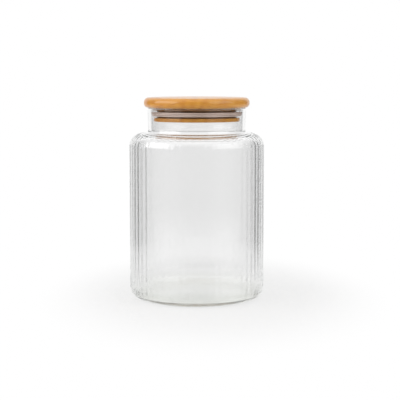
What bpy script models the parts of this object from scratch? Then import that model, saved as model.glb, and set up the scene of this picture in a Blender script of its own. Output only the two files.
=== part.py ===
# Fluted glass storage jar with a bamboo stopper lid and a silicone seal ring.
# Metres, +Z up. The origin is the centre of the base, on the surface the jar stands on,
# and every piece is turned about the +Z axis through it.

import math

import bpy
import numpy as np

# Glass jar, from the base up
BODY_DIAMETER = 0.1100  # over the crests of the flutes
HEEL_RADIUS = 0.0100  # outer corner between the base and the wall
WALL_HEIGHT = 0.1145  # straight fluted wall, from the heel to the shoulder
SHOULDER_HEIGHT = 0.0115
SHOULDER_WIDTH = 0.0129
NECK_FILLET = 0.0025  # hollow corner between the shoulder and the neck
NECK_FLARE = 0.0004  # how much wider the neck is at the rim than above its fillet
NECK_HEIGHT = 0.0172
RIM_ROUNDING = 0.0010  # fire-polished edges of the rim
GLASS_WALL = 0.0025  # from the crest of a flute to the bore
THROAT_WIDTH = 0.0069  # rounding between the bore of the neck and the ceiling of the hollow
THROAT_HEIGHT = 0.0075
SHOULDER_THICKNESS = 0.0032  # glass between the top of the shoulder and that ceiling
CEILING_CORNER_WIDTH = 0.0078  # inner corner between the ceiling and the wall
CEILING_CORNER_HEIGHT = 0.0064
FLOOR_THICKNESS = 0.0042
FLOOR_CORNER_WIDTH = 0.0060  # inner corner between the wall and the floor
FLOOR_CORNER_HEIGHT = 0.0062
FLOOR_CROWN = 0.0018  # how far the middle of the floor rises
STANDING_RING_WIDTH = 0.0037
PUSH_UP_DEPTH = 0.0007  # shallow dome under the base

# Flutes pressed into the outside of the glass
FLUTE_COUNT = 60
FLUTE_DEPTH = 0.0003
SHOULDER_FADE_SHARE = 0.95  # share of the shoulder's height at which a flute has run out
HEEL_FADE_SHARE = 0.95  # share of the heel's height at which a flute has run out

# Bamboo lid: a disc with a grooved plug under it
LID_OVERHANG = 0.00305  # how far the disc reaches past the outside of the neck
LID_THICKNESS = 0.0082
LID_TOP_ROUNDING = 0.0040
LID_BOTTOM_ROUNDING = 0.0035
COLLAR_HEIGHT = 0.0018  # plug above the groove
COLLAR_CLEARANCE = 0.0010  # from the collar to the bore of the neck
LIP_HEIGHT = 0.0030  # plug below the groove
LIP_CLEARANCE = 0.0025  # from the lip to the bore of the neck
LIP_ROUNDING = 0.0005
GROOVE_DEPTH = 0.0025

# Silicone seal ring: a band in the groove with fins that lean on the neck
SEAL_HEIGHT = 0.0054
SEAL_BAND = 0.0015
FIN_COUNT = 3
FIN_PITCH = 0.00135
FIN_ROOT = 0.0011  # thickness of a fin where it leaves the band
FIN_TIP = 0.0009  # thickness of a fin at its tip
FIN_RISE = 0.0002  # how far a tip stands above its root
FIN_TAPER = 0.0013  # how much shorter the lowest fin is than the top one

# Fits and cuts
FIT_GAP = 0.0003  # left between pieces that touch
CUT_OVERRUN = 0.0040  # how far a cutter stands out of what it cuts
MERGE_DISTANCE = 0.00001

# Facets
POINTS_PER_FLUTE = 4
BORE_STEPS = 72
LID_STEPS = 64
SHOULDER_SEGMENTS = 5
HEEL_SEGMENTS = 4
LID_EDGE_SEGMENTS = 4
SMALL_ARC_SEGMENTS = 2
THROAT_SEGMENTS = 3
CEILING_SEGMENTS = 4
SMOOTH_ANGLE = math.radians(50)

# Radii and heights that follow from the sizes above
body_radius = BODY_DIAMETER / 2
neck_radius = body_radius - SHOULDER_WIDTH - NECK_FILLET + NECK_FLARE
bore_radius = body_radius - GLASS_WALL
mouth_radius = neck_radius - GLASS_WALL
shoulder_foot = HEEL_RADIUS + WALL_HEIGHT
shoulder_top = shoulder_foot + SHOULDER_HEIGHT
neck_foot = shoulder_top + NECK_FILLET
rim_height = neck_foot + NECK_HEIGHT
rim_rounding = min(RIM_ROUNDING, GLASS_WALL / 3)
standing_radius = body_radius - HEEL_RADIUS

lid_seat = rim_height + FIT_GAP
lid_radius = neck_radius + LID_OVERHANG
collar_radius = mouth_radius - COLLAR_CLEARANCE
lip_radius = mouth_radius - LIP_CLEARANCE
groove_radius = lip_radius - GROOVE_DEPTH
groove_height = SEAL_HEIGHT + 2 * FIT_GAP

seal_inner_radius = groove_radius + FIT_GAP
seal_band_radius = seal_inner_radius + SEAL_BAND
seal_tip_radius = mouth_radius - FIT_GAP


def arc(centre, half_axes, start, end, segments):
    """Points (radius, height) on an ellipse about a centre, from one angle to another in degrees."""
    angles = np.radians(np.linspace(start, end, segments + 1))
    across = centre[0] + half_axes[0] * np.cos(angles)
    up = centre[1] + half_axes[1] * np.sin(angles)
    return list(zip(across.tolist(), up.tolist()))


def new_collection(name):
    collection = bpy.data.collections.new(name)
    bpy.context.scene.collection.children.link(collection)
    return collection


def turned(name, outline, steps, collection, closed=False):
    """A profile in the XZ plane, turned about Z by a Screw and settled into a mesh."""
    points = [(radius, 0, height) for radius, height in outline]
    edges = [(index, index + 1) for index in range(len(points) - 1)]
    if closed:
        edges.append((len(points) - 1, 0))
    profile = bpy.data.meshes.new(name + "_profile")
    profile.from_pydata(points, edges, [])
    piece = bpy.data.objects.new(name, profile)
    collection.objects.link(piece)
    screw = piece.modifiers.new("turn", "SCREW")
    screw.axis = "Z"
    screw.steps = screw.render_steps = steps
    screw.use_merge_vertices = True
    screw.merge_threshold = MERGE_DISTANCE
    settle(piece)
    bpy.data.meshes.remove(profile)
    return piece


def settle(piece):
    """Turns a piece's modifiers into its mesh, smooth except at its real corners."""
    depsgraph = bpy.context.evaluated_depsgraph_get()
    mesh = bpy.data.meshes.new_from_object(piece.evaluated_get(depsgraph))
    mesh.name = piece.name
    mesh.shade_smooth()
    mesh.set_sharp_from_angle(angle=SMOOTH_ANGLE)
    piece.modifiers.clear()
    piece.data = mesh


def cutter(name, outline, steps, collection):
    tool = turned(name, outline, steps, collection)
    tool.hide_render = True
    tool.display_type = "WIRE"
    return tool


def cut(piece, tool):
    boolean = piece.modifiers.new(tool.name, "BOOLEAN")
    boolean.operation = "DIFFERENCE"
    boolean.solver = "EXACT"
    boolean.object = tool


def finish(name, colour, roughness, transmission=0.0, ior=1.5):
    material = bpy.data.materials.new(name)
    material.use_nodes = True
    shader = material.node_tree.nodes["Principled BSDF"]
    shader.inputs["Base Color"].default_value = (*colour, 1.0)
    shader.inputs["Roughness"].default_value = roughness
    shader.inputs["Metallic"].default_value = 0.0
    shader.inputs["Transmission Weight"].default_value = transmission
    shader.inputs["IOR"].default_value = ior
    material.diffuse_color = (*colour, 1.0)
    return material


# Glass jar
def jar_outline():
    """Outside of the jar from the middle of the rim down to the middle of the base."""
    outline = [(0, rim_height)]
    rim_centre = (neck_radius - rim_rounding, rim_height - rim_rounding)
    outline += arc(rim_centre, (rim_rounding, rim_rounding), 90, 0, SMALL_ARC_SEGMENTS)
    shoulder_centre = (body_radius - SHOULDER_WIDTH, shoulder_foot)
    fillet_centre = (shoulder_centre[0], neck_foot)
    outline += arc(fillet_centre, (NECK_FILLET, NECK_FILLET), 180, 270, SMALL_ARC_SEGMENTS)
    shoulder = arc(shoulder_centre, (SHOULDER_WIDTH, SHOULDER_HEIGHT), 90, 0, SHOULDER_SEGMENTS)
    outline += shoulder[1:]
    heel_centre = (standing_radius, HEEL_RADIUS)
    outline += arc(heel_centre, (HEEL_RADIUS, HEEL_RADIUS), 0, -90, HEEL_SEGMENTS)
    outline.append((0, 0))
    return outline


def bore_outline():
    """Inside of the jar: mouth, neck, throat, ceiling under the shoulder, wall and floor."""
    outline = [(0, rim_height + CUT_OVERRUN), (mouth_radius + rim_rounding, rim_height + CUT_OVERRUN)]
    rim_centre = (mouth_radius + rim_rounding, rim_height - rim_rounding)
    outline += arc(rim_centre, (rim_rounding, rim_rounding), 90, 180, SMALL_ARC_SEGMENTS)
    ceiling = shoulder_top - SHOULDER_THICKNESS
    throat_centre = (mouth_radius + THROAT_WIDTH, ceiling + THROAT_HEIGHT)
    outline += arc(throat_centre, (THROAT_WIDTH, THROAT_HEIGHT), 180, 270, THROAT_SEGMENTS)
    ceiling_centre = (bore_radius - CEILING_CORNER_WIDTH, ceiling - CEILING_CORNER_HEIGHT)
    ceiling_axes = (CEILING_CORNER_WIDTH, CEILING_CORNER_HEIGHT)
    outline += arc(ceiling_centre, ceiling_axes, 90, 0, CEILING_SEGMENTS)
    floor_centre = (bore_radius - FLOOR_CORNER_WIDTH, FLOOR_THICKNESS + FLOOR_CORNER_HEIGHT)
    floor_axes = (FLOOR_CORNER_WIDTH, FLOOR_CORNER_HEIGHT)
    outline += arc(floor_centre, floor_axes, 0, -90, HEEL_SEGMENTS)
    outline.append((0, FLOOR_THICKNESS + FLOOR_CROWN))
    return outline


def push_up_outline():
    """Shallow dome inside the standing ring, with a rim that stands out below the base."""
    dome_radius = standing_radius - STANDING_RING_WIDTH
    dome = arc((0, 0), (dome_radius, PUSH_UP_DEPTH), 90, 0, SMALL_ARC_SEGMENTS + 1)
    return dome + [(dome_radius, -CUT_OVERRUN), (0, -CUT_OVERRUN)]


def flute_relief(height):
    """How much of its full depth a flute has at a height: all of it along the wall,
    and half a cosine wave down to none over the shoulder and over the heel."""
    above = (height - shoulder_foot) / (SHOULDER_FADE_SHARE * SHOULDER_HEIGHT)
    below = (HEEL_RADIUS - height) / (HEEL_FADE_SHARE * HEEL_RADIUS)
    faded = np.clip(np.maximum(above, below), 0, 1)
    return (1 + np.cos(np.pi * faded)) / 2


def press_flutes(piece):
    """Moves the skin in towards the axis by a cosine wave with one trough for each flute."""
    places = np.empty(len(piece.data.vertices) * 3)
    piece.data.vertices.foreach_get("co", places)
    places = places.reshape(-1, 3)
    across, along, height = places.T
    radius = np.hypot(across, along)
    wave = (1 - np.cos(FLUTE_COUNT * np.arctan2(along, across))) / 2
    pressed = radius - FLUTE_DEPTH * flute_relief(height) * wave
    share = np.where(radius > 0, pressed / np.maximum(radius, MERGE_DISTANCE), 1)
    places[:, :2] *= share[:, None]
    piece.data.vertices.foreach_set("co", places.ravel())
    piece.data.update()


def build_jar(parts, cutters):
    jar = turned("glass_jar", jar_outline(), FLUTE_COUNT * POINTS_PER_FLUTE, parts)
    press_flutes(jar)
    cut(jar, cutter("jar_bore", bore_outline(), BORE_STEPS, cutters))
    cut(jar, cutter("push_up", push_up_outline(), BORE_STEPS, cutters))
    jar.data.materials.append(finish("clear_glass", (0.93, 0.95, 0.94), 0.02, transmission=1.0))
    return jar


# Bamboo lid
def lid_outline():
    """Disc, collar, groove and lip from the middle of the top down to the middle of the plug,
    measured from the underside of the disc."""
    top_rounding = min(LID_TOP_ROUNDING, LID_THICKNESS / 2)
    bottom_rounding = min(LID_BOTTOM_ROUNDING, LID_THICKNESS / 2, LID_OVERHANG + GLASS_WALL)
    lip_rounding = min(LIP_ROUNDING, LIP_HEIGHT / 2)
    groove_top = -COLLAR_HEIGHT
    groove_bottom = groove_top - groove_height
    plug_bottom = groove_bottom - LIP_HEIGHT
    outline = [(0, LID_THICKNESS)]
    top_centre = (lid_radius - top_rounding, LID_THICKNESS - top_rounding)
    outline += arc(top_centre, (top_rounding, top_rounding), 90, 0, LID_EDGE_SEGMENTS)
    bottom_centre = (lid_radius - bottom_rounding, bottom_rounding)
    outline += arc(bottom_centre, (bottom_rounding, bottom_rounding), 0, -90, LID_EDGE_SEGMENTS)
    outline += [(collar_radius, 0), (collar_radius, groove_top)]
    outline += [(groove_radius, groove_top), (groove_radius, groove_bottom)]
    outline.append((lip_radius, groove_bottom))
    lip_centre = (lip_radius - lip_rounding, plug_bottom + lip_rounding)
    outline += arc(lip_centre, (lip_rounding, lip_rounding), 0, -90, SMALL_ARC_SEGMENTS)
    outline.append((0, plug_bottom))
    return outline


def build_lid(parts):
    lid = turned("bamboo_lid", lid_outline(), LID_STEPS, parts)
    lid.data.materials.append(finish("bamboo", (0.65, 0.33, 0.09), 0.4))
    return lid


# Seal ring
def seal_outline():
    """Band with leaning fins down its outer side, measured from the underside of the disc."""
    band_top = -COLLAR_HEIGHT - FIT_GAP
    band_middle = band_top - SEAL_HEIGHT / 2
    outline = [(seal_inner_radius, band_top), (seal_band_radius, band_top)]
    for fin in range(FIN_COUNT):
        root = band_middle + FIN_PITCH * ((FIN_COUNT - 1) / 2 - fin)
        tip = root + FIN_RISE
        reach = seal_tip_radius - FIN_TAPER * (fin / max(FIN_COUNT - 1, 1)) ** 2
        outline.append((seal_band_radius, root + FIN_ROOT / 2))
        outline += [(reach, tip + FIN_TIP / 2), (reach, tip - FIN_TIP / 2)]
        outline.append((seal_band_radius, root - FIN_ROOT / 2))
    band_bottom = band_top - SEAL_HEIGHT
    outline += [(seal_band_radius, band_bottom), (seal_inner_radius, band_bottom)]
    return outline


def build_seal(parts):
    seal = turned("seal_ring", seal_outline(), LID_STEPS, parts, closed=True)
    seal.data.materials.append(finish("clear_silicone", (0.68, 0.64, 0.61), 0.35))
    return seal


def build():
    for old in list(bpy.data.objects):
        bpy.data.objects.remove(old, do_unlink=True)
    parts = new_collection("fluted_storage_jar")
    cutters = new_collection("cutters")
    build_jar(parts, cutters)

    # The lid and its seal lift and turn about this axis, which starts at the lid's seat
    lid_axis = bpy.data.objects.new("lid_axis", None)
    lid_axis.empty_display_size = lid_radius
    lid_axis.location = (0, 0, lid_seat)
    parts.objects.link(lid_axis)
    for piece in (build_seal(parts), build_lid(parts)):
        piece.parent = lid_axis


build()
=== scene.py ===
# The looks of the fluted storage jar: clear fluted glass, a bamboo stopper lid and a silicone
# seal, on a pale floor in a soft white studio. Metres, +Z up, the axis of the jar on Z.
import math

import bpy
import numpy as np
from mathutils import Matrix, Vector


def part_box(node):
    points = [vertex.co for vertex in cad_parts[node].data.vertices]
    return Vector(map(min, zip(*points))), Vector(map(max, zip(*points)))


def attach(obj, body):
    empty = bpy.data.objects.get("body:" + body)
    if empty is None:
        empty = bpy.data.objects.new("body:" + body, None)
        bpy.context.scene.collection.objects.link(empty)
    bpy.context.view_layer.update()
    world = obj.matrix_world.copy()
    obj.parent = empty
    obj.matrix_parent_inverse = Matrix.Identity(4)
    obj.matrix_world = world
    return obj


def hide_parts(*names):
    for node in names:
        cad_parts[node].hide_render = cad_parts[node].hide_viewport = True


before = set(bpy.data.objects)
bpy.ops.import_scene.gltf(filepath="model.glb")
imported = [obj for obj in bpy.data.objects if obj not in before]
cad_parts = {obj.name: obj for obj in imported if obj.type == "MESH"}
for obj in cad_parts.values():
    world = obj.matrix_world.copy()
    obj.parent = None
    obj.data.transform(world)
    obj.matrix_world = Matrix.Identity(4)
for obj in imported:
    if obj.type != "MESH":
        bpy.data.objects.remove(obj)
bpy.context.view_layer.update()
mm = 0.001


# Shader sockets, so that maths on them reads as expressions
class Socket:
    def __init__(self, tree, output=None):
        self.tree, self.output = tree, output

    # any node: its type, its own settings, and the values or links of its sockets
    def add(self, kind, settings=None, values=None, output=0):
        node = self.tree.nodes.new("ShaderNode" + kind)
        for name, value in (settings or {}).items():
            if name == "stops":
                self.fillRamp(node.color_ramp, value)
            else:
                setattr(node, name, value)
        for name, value in (values or {}).items():
            if isinstance(value, Socket):
                self.tree.links.new(value.output, node.inputs[name])
            else:
                node.inputs[name].default_value = value
        return Socket(self.tree, node.outputs[output] if len(node.outputs) else None)

    def fillRamp(self, ramp, stops):
        while len(ramp.elements) < len(stops):
            ramp.elements.new(1.0)
        for element, (place, colour) in zip(ramp.elements, stops):
            element.position = place
            element.color = colour

    # the other outputs of the node that this socket belongs to, by name or by number
    def beside(self, *outputs):
        return [Socket(self.tree, self.output.node.outputs[output]) for output in outputs]

    def math(self, operation, *terms):
        return self.add("Math", {"operation": operation}, dict(enumerate(terms)))

    def __add__(self, other):
        return self.math("ADD", self, other)

    def __sub__(self, other):
        return self.math("SUBTRACT", self, other)

    def __mul__(self, other):
        return self.math("MULTIPLY", self, other)

    def __truediv__(self, other):
        return self.math("DIVIDE", self, other)

    def __radd__(self, other):
        return self.math("ADD", other, self)

    def __rsub__(self, other):
        return self.math("SUBTRACT", other, self)

    def __rmul__(self, other):
        return self.math("MULTIPLY", other, self)

    def __rtruediv__(self, other):
        return self.math("DIVIDE", other, self)

    def __abs__(self):
        return self.math("ABSOLUTE", self)

    # 0 below the low value, 1 above the high one, and a smooth step between them
    def step(self, low, high):
        values = {"Value": self, "From Min": low, "From Max": high}
        return self.add("MapRange", {"interpolation_type": "SMOOTHSTEP"}, values)

    # the larger of two masks
    def orElse(self, other):
        return self.math("MAXIMUM", self, other)


def mixColour(share, first, second):
    return share.add("Mix", {"data_type": "RGBA"}, {0: share, 6: first, 7: second}, output=2)


def paint(red, green, blue):  # a colour as a paint chart gives it, 0 to 255, made linear
    chart = np.array([red, green, blue]) / 255
    linear = np.where(chart <= 0.04045, chart / 12.92, ((chart + 0.055) / 1.055) ** 2.4)
    return (*linear.tolist(), 1.0)


def newMaterial(name):
    material = bpy.data.materials.new(name)
    material.use_nodes = True
    material.node_tree.nodes.clear()
    return material, Socket(material.node_tree)


def objectPlace(tree):
    return tree.add("TexCoord", output=3)


def alongAxes(tree, vector):
    # the X, Y and Z of a vector, each by itself
    return tree.add("SeparateXYZ", values={"Vector": vector}).beside(0, 1, 2)


def rayMasks(tree, *kinds):
    # 1 where light is traced by a ray of that kind, such as Camera or Shadow
    return tree.add("LightPath").beside(*(f"Is {kind} Ray" for kind in kinds))


# Turned shapes
def aroundAxis(steps):
    return np.linspace(0, 2 * math.pi, steps, endpoint=False)


def arcPoints(centre, halfAxes, start, end, count, fullness=2.0):
    # centre plus one half axis times the cosine across and the other times the sine up; a
    # fullness over 2 makes the curve squarer, by a power of 2 over the fullness on both
    angles = np.radians(np.linspace(start, end, count))
    ways = np.column_stack([np.cos(angles), np.sin(angles)])
    return np.array(centre) + np.array(halfAxes) * np.sign(ways) * np.abs(ways) ** (2 / fullness)


def runPoints(first, last, count, guard=0.15 * mm):
    # points at even steps on the straight line between two points, without its ends, and one close
    # to each end, where the smooth shading of the curve beside it stops
    first, last = np.array(first), np.array(last)
    edge = guard / np.linalg.norm(last - first)
    shares = np.concatenate([[edge], np.linspace(0, 1, count + 2)[1:-1], [1 - edge]])[:, None]
    return first * (1 - shares) + last * shares


def turnedPiece(name, radius, height, closed):
    # every profile point goes round the axis: radius times cosine, radius times sine, height;
    # radius and height are grids of rings by steps, and a closed profile joins its ends
    rings, steps = radius.shape
    turn = aroundAxis(steps)
    points = np.stack([radius * np.cos(turn), radius * np.sin(turn), height], axis=2).reshape(-1, 3)
    ring = np.arange(rings if closed else rings - 1)[:, None]
    step = np.arange(steps)[None, :]
    above, beside = (ring + 1) % rings, (step + 1) % steps
    corners = [ring * steps + step, ring * steps + beside, above * steps + beside, above * steps + step]
    faces = np.stack(corners, axis=2).reshape(-1, 4).tolist()
    if not closed:  # both ends meet the axis in one point
        poles = np.array([[0, 0, height[0].mean()], [0, 0, height[-1].mean()]])
        first, last = len(points), len(points) + 1
        points = np.vstack([points, poles])
        ends = (rings - 1) * steps
        faces += np.column_stack([np.full(steps, first), beside[0], step[0]]).tolist()
        faces += np.column_stack([ends + step[0], ends + beside[0], np.full(steps, last)]).tolist()
    mesh = bpy.data.meshes.new(name)
    mesh.from_pydata(points.tolist(), [], faces)
    mesh.shade_smooth()
    piece = bpy.data.objects.new(name, mesh)
    bpy.context.scene.collection.objects.link(piece)
    return piece


def roundPiece(name, profile, steps, closed):
    # a profile turned true: the same radius and height all the way round
    radius = np.repeat(profile[:, :1], steps, axis=1)
    height = np.repeat(profile[:, 1:], steps, axis=1)
    return turnedPiece(name, radius, height, closed)


# Camera, at the place that the photograph was taken from
photograph = {
    "distance": 963 * mm,  # from the axis of the jar, level with it
    "height": 184.8 * mm,
    "side": 2.66 * mm,
    "tilt": 6.2,  # degrees down
    "lens": 106.1,
    "clip": (0.01, 100),
}


def makeCamera(view):
    data = bpy.data.cameras.new("camera")
    data.lens = view["lens"]
    data.clip_start, data.clip_end = view["clip"]
    camera = bpy.data.objects.new("camera", data)
    camera.location = (view["side"], -view["distance"], view["height"])
    camera.rotation_euler = (math.radians(90 - view["tilt"]), 0, 0)
    bpy.context.scene.collection.objects.link(camera)
    bpy.context.scene.camera = camera


makeCamera(photograph)
print("camera placed")

# White studio: floor, surroundings and two large softboxes
studio = {
    "floorRadius": 0.25,
    "floorMiddle": 0.05,  # share of that radius that the one flat face in the middle takes
    "floorRings": 12,
    "floorSteps": 96,
    "floorDrop": 0.2 * mm,  # a hair under the standing ring, so that the two don't share a plane
    "floorColour": paint(238, 238, 238),
    "floorGlow": 0.45,  # share of plain white in it, which keeps the shadow at its foot from going black
    "fadeCentre": (0.012, 0.01),
    "fadeHalfAxes": (0.150, 0.235),  # where the shaded floor has gone over into white
    "fadeStart": 0.45,  # share of those half axes at which it begins
    "glow": 0.62,  # how far the floor seen through glass has gone over into white
    "sideShade": (0.06, 0.22),  # from the middle to the sides, where that white falls off
    "sideLoss": 0.5,
    "ambient": 0.68,  # how much light the surroundings give
    "ceiling": 1.6,  # what gloss and glass see overhead
    "ceilingRise": (15, 60),  # degrees above the horizon between which it takes over
    "sweep": (-8.8, -6.4),  # degrees from the horizon, where the white sweep below it ends
    "flagFoot": (-10, -8),  # the same where the flags stand, which reach lower
    "flagEnd": (100, 115),  # degrees round from straight behind the jar
    "roomFoot": 0.55,  # the floor of the room behind the camera
    "roomSide": (140, 150),
    # brightness of what stands round the jar, by degrees round from straight behind it
    "left": [(0, 1.0), (38, 1.0), (46, 0.1), (99, 0.1), (104, 0.35), (140, 0.35), (145, 0.12), (180, 0.12)],
    "right": [(0, 1.0), (35, 1.0), (43, 0.1), (112, 0.1), (120, 0.3), (151, 0.3), (156, 0.12), (180, 0.12)],
}
softboxes = [
    {"name": "softbox_left", "turn": -72, "width": 1.11, "foot": 0.19, "top": 1.02, "power": 8.4},
    {"name": "softbox_right", "turn": 57, "width": 1.04, "foot": 0.2, "top": 1.02, "power": 4.9},
]
lightBounces = 40  # light runs a long way round inside a glass wall


def makeFloor(look):
    # a flat disc: rings of points at even radii, and one face in the middle
    count, steps = look["floorRings"], look["floorSteps"]
    turn = aroundAxis(steps)
    radius = look["floorRadius"] * np.linspace(look["floorMiddle"], 1, count)
    down = np.full((count, steps), -look["floorDrop"])
    points = np.stack([np.outer(radius, np.cos(turn)), np.outer(radius, np.sin(turn)), down], axis=2)
    ring, step = np.arange(count - 1)[:, None], np.arange(steps)[None, :]
    outer, beside = ring + 1, (step + 1) % steps
    corners = [ring * steps + step, outer * steps + step, outer * steps + beside, ring * steps + beside]
    faces = np.stack(corners, axis=2).reshape(-1, 4).tolist() + [list(range(steps))]
    mesh = bpy.data.meshes.new("floor")
    mesh.from_pydata(points.reshape(-1, 3).tolist(), [], faces)
    floor = bpy.data.objects.new("floor", mesh)
    bpy.context.scene.collection.objects.link(floor)
    mesh.materials.append(floorFinish(look))


def floorFinish(look):
    # a pale board near the jar, which holds its shadow, fading into plain white in an ellipse:
    # the distance from its centre, in half axes, is the root of the sum of both squares
    material, tree = newMaterial("white_floor")
    x, y, _ = alongAxes(tree, objectPlace(tree))
    across = (x - look["fadeCentre"][0]) / look["fadeHalfAxes"][0]
    along = (y - look["fadeCentre"][1]) / look["fadeHalfAxes"][1]
    square = across * across + along * along
    fade = square.math("SQRT", square).step(look["fadeStart"], 1.0)
    fade = look["floorGlow"] + (1 - look["floorGlow"]) * fade
    camera, glossy, throughGlass = rayMasks(tree, "Camera", "Glossy", "Transmission")
    fade = fade.orElse(throughGlass * look["glow"])
    shade = throughGlass * look["sideLoss"] * abs(x).step(*look["sideShade"])
    board = tree.add("BsdfDiffuse", values={"Color": look["floorColour"]})
    glow = mixColour(shade, (1, 1, 1, 1), (0, 0, 0, 1))
    white = tree.add("Emission", values={"Color": glow, "Strength": 1.0})
    seen = fade * camera.orElse(glossy).orElse(throughGlass)
    surface = tree.add("MixShader", values={0: seen, 1: board, 2: white})
    tree.add("OutputMaterial", values={"Surface": surface})
    return material


def makeSurroundings(look):
    # a white sweep behind, dark flags to the sides, and a dark room behind the camera
    world = bpy.data.worlds.new("studio")
    bpy.context.scene.world = world
    world.use_nodes = True
    world.node_tree.nodes.clear()
    tree = Socket(world.node_tree)
    x, y, z = alongAxes(tree, tree.add("TexCoord", output=0))
    turn = abs(x.math("ARCTAN2", x, y)) * (180 / math.pi)  # 0 behind the jar, 180 at the camera
    rise = z.math("ARCSINE", z) * (180 / math.pi)

    left, right = (ringOfLight(turn, look[side]) for side in ("left", "right"))
    level = right + (left - right) * x.math("LESS_THAN", x, 0)
    level = level + (look["ceiling"] - level) * rise.step(*look["ceilingRise"])
    flagged = 1 - turn.step(*look["flagEnd"])
    above = rise.step(*look["sweep"]).orElse(flagged * rise.step(*look["flagFoot"]))
    foot = 1 - (1 - look["roomFoot"]) * turn.step(*look["roomSide"])
    level = foot + (level - foot) * above

    # plain white for the camera, the levels above in gloss and through glass, and soft light for the rest
    camera, glossy, throughGlass = rayMasks(tree, "Camera", "Glossy", "Transmission")
    strength = look["ambient"] * (1 - camera.orElse(glossy).orElse(throughGlass))
    strength = strength + camera + (1 - camera) * glossy.orElse(throughGlass) * level
    background = tree.add("Background", values={"Color": (1, 1, 1, 1), "Strength": strength})
    tree.add("OutputWorld", values={"Surface": background})


def ringOfLight(turn, levels):
    stops = [(place / 180, (level, level, level, 1)) for place, level in levels]
    return turn.add("ValToRGB", {"stops": stops}, {"Fac": turn / 180})


def makeSoftbox(box):
    # an upright lamp that faces the axis of the jar from 1 m away
    data = bpy.data.lights.new(box["name"], "AREA")
    data.shape = "RECTANGLE"
    data.size, data.size_y = box["width"], box["top"] - box["foot"]
    data.energy = box["power"]
    lamp = bpy.data.objects.new(box["name"], data)
    turn = math.radians(box["turn"])
    lamp.location = (math.sin(turn), -math.cos(turn), (box["foot"] + box["top"]) / 2)
    lamp.rotation_euler = (math.radians(90), 0, turn)
    lamp.visible_camera = False
    bpy.context.scene.collection.objects.link(lamp)


makeFloor(studio)
makeSurroundings(studio)
for softbox in softboxes:
    makeSoftbox(softbox)
bpy.context.scene.view_settings.view_transform = "Standard"
cycles = bpy.context.scene.cycles
cycles.caustics_reflective = False
cycles.caustics_refractive = False  # the glass lets soft light straight through
cycles.use_adaptive_sampling = False
cycles.sampling_pattern = "TABULATED_SOBOL"
cycles.denoising_input_passes = "RGB"
cycles.max_bounces = cycles.transmission_bounces = cycles.glossy_bounces = lightBounces
print("studio lit")

# Glass jar
_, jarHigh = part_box("glass_jar")
glass = {
    "heel": 10.0 * mm,  # outer corner between the base and the wall
    "shoulderFoot": 124.5 * mm,
    "shoulderHeight": 11.5 * mm,
    "shoulderWidth": 13.1 * mm,
    "neckFillet": 2.4 * mm,
    "neck": 40.0 * mm,  # radius at the rim, from where it narrows a little downwards
    "neckWall": 2.55 * mm,
    "shoulderWall": 2.7 * mm,
    "innerWidth": 10.5 * mm,  # the hollow's own shoulder, a tighter curve than the one outside
    "innerHeight": 9.1 * mm,
    "innerFullness": 2.27,
    "throatWidth": 4.5 * mm,  # where the hollow turns up into the neck
    "throatHeight": 5.3 * mm,
    "rimRounding": 0.9 * mm,
    "wall": 2.5 * mm,
    "floor": 3.65 * mm,
    "floorCornerWidth": 1.95 * mm,
    "floorCornerHeight": 3.85 * mm,
    "floorCrown": 1.1 * mm,  # how much higher the middle of the floor is than its edge
    "standingRing": 4.4 * mm,
    "pushUp": 0.9 * mm,  # how far the base is hollowed inside that ring
    "pushUpFullness": 3.6,
    "flutes": 60,
    "fluteDepth": 0.3 * mm,
    "fadeStart": 0.4,  # shares of the shoulder's height between which a flute runs out
    "fadeEnd": 1.0,
    "heelFade": 0.88,  # share of the heel's height over which it does so there
    "pointsPerFlute": 10,
    "thinTint": paint(249, 249, 249),
    "baseShadeTint": paint(242, 243, 240),
    "baseShadeFade": (2 * mm, 16 * mm),  # heights between which the painted shade at the base, a darker grey-green glass colour, fades out
    "rippleScale": 55.0,
    "rippleStrength": 0.006,
    "shadowTint": (0.92, 0.925, 0.925, 1),  # what soft light keeps on its way straight through
    "bodyTint": (0.83, 0.84, 0.83, 1),
    "bodyDensity": 12.0,
}


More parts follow.
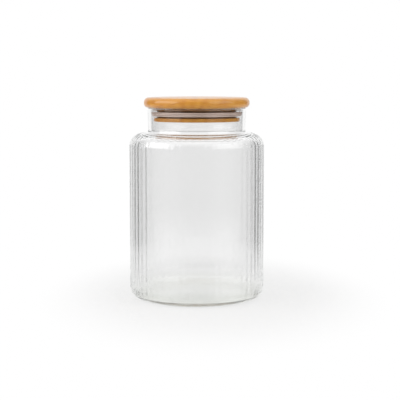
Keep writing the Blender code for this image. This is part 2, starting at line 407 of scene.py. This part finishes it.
def jarProfile(part):
    # from the middle of the base out and up the outside, over the rim and down the inside;
    # also how many of its points lie outside. Each row ends with its number of points
    body, rim = jarHigh.x, jarHigh.z
    neck = part["neck"]
    mouth = neck - part["neckWall"]
    bore = body - part["wall"]
    shoulderTop = part["shoulderFoot"] + part["shoulderHeight"]
    neckFoot = shoulderTop + part["neckFillet"]
    standing = body - part["heel"]
    dome = standing - part["standingRing"]
    shoulder = (part["shoulderWidth"], part["shoulderHeight"])
    shoulderCentre = (body - shoulder[0], part["shoulderFoot"])
    filletCentre = (shoulderCentre[0], neckFoot)
    innerTop = shoulderTop - part["shoulderWall"]
    inner = (part["innerWidth"], part["innerHeight"])
    throat = (part["throatWidth"], part["throatHeight"])
    rimCurve = part["rimRounding"]
    corner = (part["floorCornerWidth"], part["floorCornerHeight"])
    cornerCentre = (bore - corner[0], part["floor"] + corner[1])
    outside = [
        arcPoints((0, 0), (dome, part["pushUp"]), 87, 0, 12, part["pushUpFullness"]),
        runPoints((dome, 0), (standing, 0), 1),
        arcPoints((standing, part["heel"]), (part["heel"],) * 2, -90, 0, 16),
        runPoints((body, part["heel"]), (body, part["shoulderFoot"]), 4),
        arcPoints(shoulderCentre, shoulder, 0, 90, 22),
        arcPoints(filletCentre, (part["neckFillet"],) * 2, 270, 180, 9)[1:],
        runPoints((filletCentre[0] - part["neckFillet"], neckFoot), (neck, rim - rimCurve), 3),
        arcPoints((neck - rimCurve, rim - rimCurve), (rimCurve,) * 2, 0, 90, 6),
    ]
    inside = [
        arcPoints((mouth + rimCurve, rim - rimCurve), (rimCurve,) * 2, 90, 180, 6),
        runPoints((mouth, rim - rimCurve), (mouth, innerTop + throat[1]), 3),
        arcPoints((mouth + throat[0], innerTop + throat[1]), throat, 180, 270, 18),
        arcPoints((bore - inner[0], innerTop - inner[1]), inner, 90, 0, 20, part["innerFullness"]),
        runPoints((bore, innerTop - inner[1]), (bore, cornerCentre[1]), 3),
        arcPoints(cornerCentre, corner, 0, -90, 14),
        runPoints((cornerCentre[0], part["floor"]), (0, part["floor"] + part["floorCrown"]), 4),
    ]
    outer = np.vstack(outside)
    return np.vstack([outer, *inside]), len(outer)


def fluteRelief(height, part):
    # all of the depth along the wall, half a cosine wave down to none over shoulder and heel
    above = (height - part["shoulderFoot"]) / part["shoulderHeight"]
    above = (above - part["fadeStart"]) / (part["fadeEnd"] - part["fadeStart"])
    below = (part["heel"] - height) / (part["heelFade"] * part["heel"])
    return (1 + np.cos(math.pi * np.clip(np.maximum(above, below), 0, 1))) / 2


def makeJar(part):
    # radius less depth times a cosine wave round the jar, with one trough for each flute
    profile, outer = jarProfile(part)
    steps = part["flutes"] * part["pointsPerFlute"]
    wave = (1 - np.cos(part["flutes"] * aroundAxis(steps))) / 2
    relief = fluteRelief(profile[:, 1], part)
    relief[outer:] = 0
    radius = profile[:, :1] - part["fluteDepth"] * relief[:, None] * wave
    height = np.repeat(profile[:, 1:], steps, axis=1)
    jar = turnedPiece("fluted_glass", radius, height, closed=False)
    jar.data.materials.append(glassFinish(part))
    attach(jar, "jar")
    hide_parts("glass_jar")


def glassFinish(part):
    material, tree = newMaterial("clear_glass")
    place = objectPlace(tree)
    _, _, height = alongAxes(tree, place)
    # painted shade: the glass colour darker towards the bottom
    lowShade = 1 - height.step(*part["baseShadeFade"])
    colour = mixColour(lowShade, part["thinTint"], part["baseShadeTint"])
    ripple = tree.add("TexNoise", values={"Vector": place, "Scale": part["rippleScale"], "Detail": 1.0})
    bump = tree.add("Bump", values={"Strength": part["rippleStrength"], "Distance": 1 * mm, "Height": ripple})
    shader = tree.add("BsdfPrincipled", values={
        "Base Color": colour, "Roughness": 0.0, "IOR": 1.5, "Transmission Weight": 1.0, "Normal": bump})
    clear = tree.add("BsdfTransparent", values={"Color": part["shadowTint"]})
    shadow, diffuse = rayMasks(tree, "Shadow", "Diffuse")
    surface = tree.add("MixShader", values={0: shadow.orElse(diffuse), 1: shader, 2: clear})
    volume = tree.add("VolumeAbsorption", values={"Color": part["bodyTint"], "Density": part["bodyDensity"]})
    tree.add("OutputMaterial", values={"Surface": surface, "Volume": volume})
    return material


makeJar(glass)
print("glass jar made")

# Bamboo lid
lidLow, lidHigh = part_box("bamboo_lid")
bamboo = {
    "thickness": 8.2 * mm,
    "topRounding": 4.0 * mm,
    "bottomRounding": 3.5 * mm,
    "collar": 36.5 * mm,  # radius of the plug above the groove
    "lip": 35.0 * mm,  # and below it
    "groove": 32.5 * mm,
    "collarHeight": 1.8 * mm,
    "lipHeight": 3.0 * mm,
    "edge": 0.35 * mm,  # broken corners
    "steps": 360,
    "strip": 14.0 * mm,  # width of one bamboo strip in the board
    "jointLine": (0.006, 0.02),  # shares of a strip, from its edge in, over which the joint line goes
    "fibreScale": (1050, 60, 1050),
    "fleckRange": (0.56, 0.66),
    "broadScale": (260, 14, 260),
    "broadRange": (0.35, 0.68),
    "pale": paint(206, 143, 48),
    "deep": paint(192, 125, 36),
    "stripTone": paint(214, 156, 66),  # from here on a colour, and the most of it that shows
    "stripShare": 0.35,
    "fleckTone": paint(152, 90, 35),
    "fleckShare": 0.65,
    "jointTone": paint(120, 70, 30),
    "jointShare": 0.12,
    "grooveShadeTone": paint(70, 36, 8),  # painted shade: the turned groove and collar darkened, where the disc above shades them
    "grooveShadeShare": 0.6,
    "grooveFoot": (147.7 * mm, 148.1 * mm),  # heights between which that comes in
    "grooveTop": (155.6 * mm, 156.0 * mm),  # and goes
    "gloss": (0.34, 0.16),  # least roughness, and what the fibres add to it
}


def lidProfile(part):
    # from the middle of the plug's end out over lip, groove, collar and disc to the middle of the top;
    # each row ends with its number of points
    outer, top, low = lidHigh.x, lidHigh.z, lidLow.z
    seat = top - part["thickness"]
    lip, groove, collar = part["lip"], part["groove"], part["collar"]
    grooveTop = seat - part["collarHeight"]
    grooveFoot = low + part["lipHeight"]
    over, under = part["topRounding"], part["bottomRounding"]
    edge = part["edge"]
    pair = (edge, edge)
    rows = [
        runPoints((0, low), (lip - edge, low), 6),
        arcPoints((lip - edge, low + edge), pair, -90, 0, 5),
        runPoints((lip, low + edge), (lip, grooveFoot - edge), 1),
        arcPoints((lip - edge, grooveFoot - edge), pair, 0, 90, 5),
        arcPoints((groove + edge, grooveFoot + edge), pair, 270, 180, 4),
        runPoints((groove, grooveFoot + edge), (groove, grooveTop - edge), 1),
        arcPoints((groove + edge, grooveTop - edge), pair, 180, 90, 4),
        arcPoints((collar - edge, grooveTop + edge), pair, -90, 0, 5),
        arcPoints((collar + edge, seat - edge), pair, 180, 90, 4),
        arcPoints((outer - under, seat + under), (under, under), -90, 0, 14),
        arcPoints((outer - over, top - over), (over, over), 0, 90, 16),
        runPoints((outer - over, top), (0, top), 8),
    ]
    return np.vstack(rows)


def makeLid(part):
    lid = roundPiece("bamboo_stopper", lidProfile(part), part["steps"], closed=False)
    lid.data.materials.append(bambooFinish(part))
    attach(lid, "lid")
    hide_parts("bamboo_lid")


def bambooFinish(part):
    # grain runs along Y, so the front edge shows cut fibre ends and the sides show long fibres
    material, tree = newMaterial("oiled_bamboo")
    place = objectPlace(tree)
    across, _, height = alongAxes(tree, place)
    strips = across / part["strip"]
    number = strips.math("FLOOR", strips)
    tone = tree.add("TexWhiteNoise", {"noise_dimensions": "1D"}, {"W": number})
    joint = 1 - (0.5 - abs(strips - number - 0.5)).step(*part["jointLine"])

    fibreScale = tree.add("Mapping", values={"Vector": place, "Scale": part["fibreScale"]})
    fibre = tree.add("TexNoise", values={"Vector": fibreScale, "Scale": 1.0, "Detail": 3.0, "Roughness": 0.6})
    broadScale = tree.add("Mapping", values={"Vector": place, "Scale": part["broadScale"]})
    broad = tree.add("TexNoise", values={"Vector": broadScale, "Scale": 1.0, "Detail": 2.0})
    fleck = fibre.step(*part["fleckRange"])
    # painted shade in the colour: darker over the groove and collar, under the disc's overhang
    groove = height.step(*part["grooveFoot"]) * (1 - height.step(*part["grooveTop"]))

    colour = mixColour(broad.step(*part["broadRange"]), part["pale"], part["deep"])
    colour = mixColour(tone * part["stripShare"], colour, part["stripTone"])
    colour = mixColour(fleck * part["fleckShare"], colour, part["fleckTone"])
    colour = mixColour(joint * part["jointShare"], colour, part["jointTone"])
    colour = mixColour(groove * part["grooveShadeShare"], colour, part["grooveShadeTone"])
    least, added = part["gloss"]
    bump = tree.add("Bump", values={"Strength": 0.12, "Distance": 0.2 * mm, "Height": fibre})
    shader = tree.add("BsdfPrincipled", values={
        "Base Color": colour, "Roughness": least + fibre * added, "Normal": bump,
        "Specular IOR Level": 0.35, "Coat Weight": 0.55, "Coat Roughness": 0.12})
    tree.add("OutputMaterial", values={"Surface": shader})
    return material


makeLid(bamboo)
print("bamboo lid made")

# Silicone seal ring
silicone = {
    "inner": 32.8 * mm,
    "band": 34.0 * mm,  # outer radius of the band that the fins stand on
    "foot": 149.3 * mm,
    "top": 152.8 * mm,
    "tip": 37.4 * mm,  # reach of the top fin
    "fins": 3,
    "root": 1.2 * mm,  # thickness of a fin at the band
    "finTip": 1.0 * mm,
    "rise": 0.1 * mm,  # how far a tip stands above its root
    "taper": 1.3 * mm,  # how much shorter the lowest fin is than the top one
    "steps": 300,
    "pale": paint(228, 207, 196),
    "deep": paint(217, 196, 185),
    "cloudScale": 90.0,
    "cloudRange": (0.3, 0.7),
}


def sealProfile(part):
    # up the outside from the band's foot: each fin goes out to a rounded tip and back; then down the bore
    foot, top, band, fins = part["foot"], part["top"], part["band"], part["fins"]
    pitch = (top - foot) / fins
    half = part["finTip"] / 2
    rows = [[(band, foot)]]
    for fin in range(fins):
        root = foot + pitch * (fin + 0.5)
        fromTop = (fins - 1 - fin) / (fins - 1)
        reach = part["tip"] - part["taper"] * fromTop ** 2
        rows.append([(band, root - part["root"] / 2)])
        rows.append(arcPoints((reach - half, root + part["rise"]), (half, half), -80, 80, 7))
        rows.append([(band, root + part["root"] / 2)])
    rows.append([(band, top), (part["inner"], top), (part["inner"], foot)])
    return np.vstack(rows)


def makeSeal(part):
    seal = roundPiece("silicone_seal", sealProfile(part), part["steps"], closed=True)
    seal.data.materials.append(siliconeFinish(part))
    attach(seal, "seal")
    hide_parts("seal_ring")


def siliconeFinish(part):
    material, tree = newMaterial("clear_silicone")
    cloud = tree.add("TexNoise", values={
        "Vector": objectPlace(tree), "Scale": part["cloudScale"], "Detail": 2.0})
    colour = mixColour(cloud.step(*part["cloudRange"]), part["pale"], part["deep"])
    bump = tree.add("Bump", values={"Strength": 0.05, "Distance": 0.1 * mm, "Height": cloud})
    shader = tree.add("BsdfPrincipled", values={
        "Base Color": colour, "Roughness": 0.35, "Normal": bump, "Transmission Weight": 0.0, "IOR": 1.41})
    tree.add("OutputMaterial", values={"Surface": shader})
    return material


makeSeal(silicone)
print("silicone seal made")
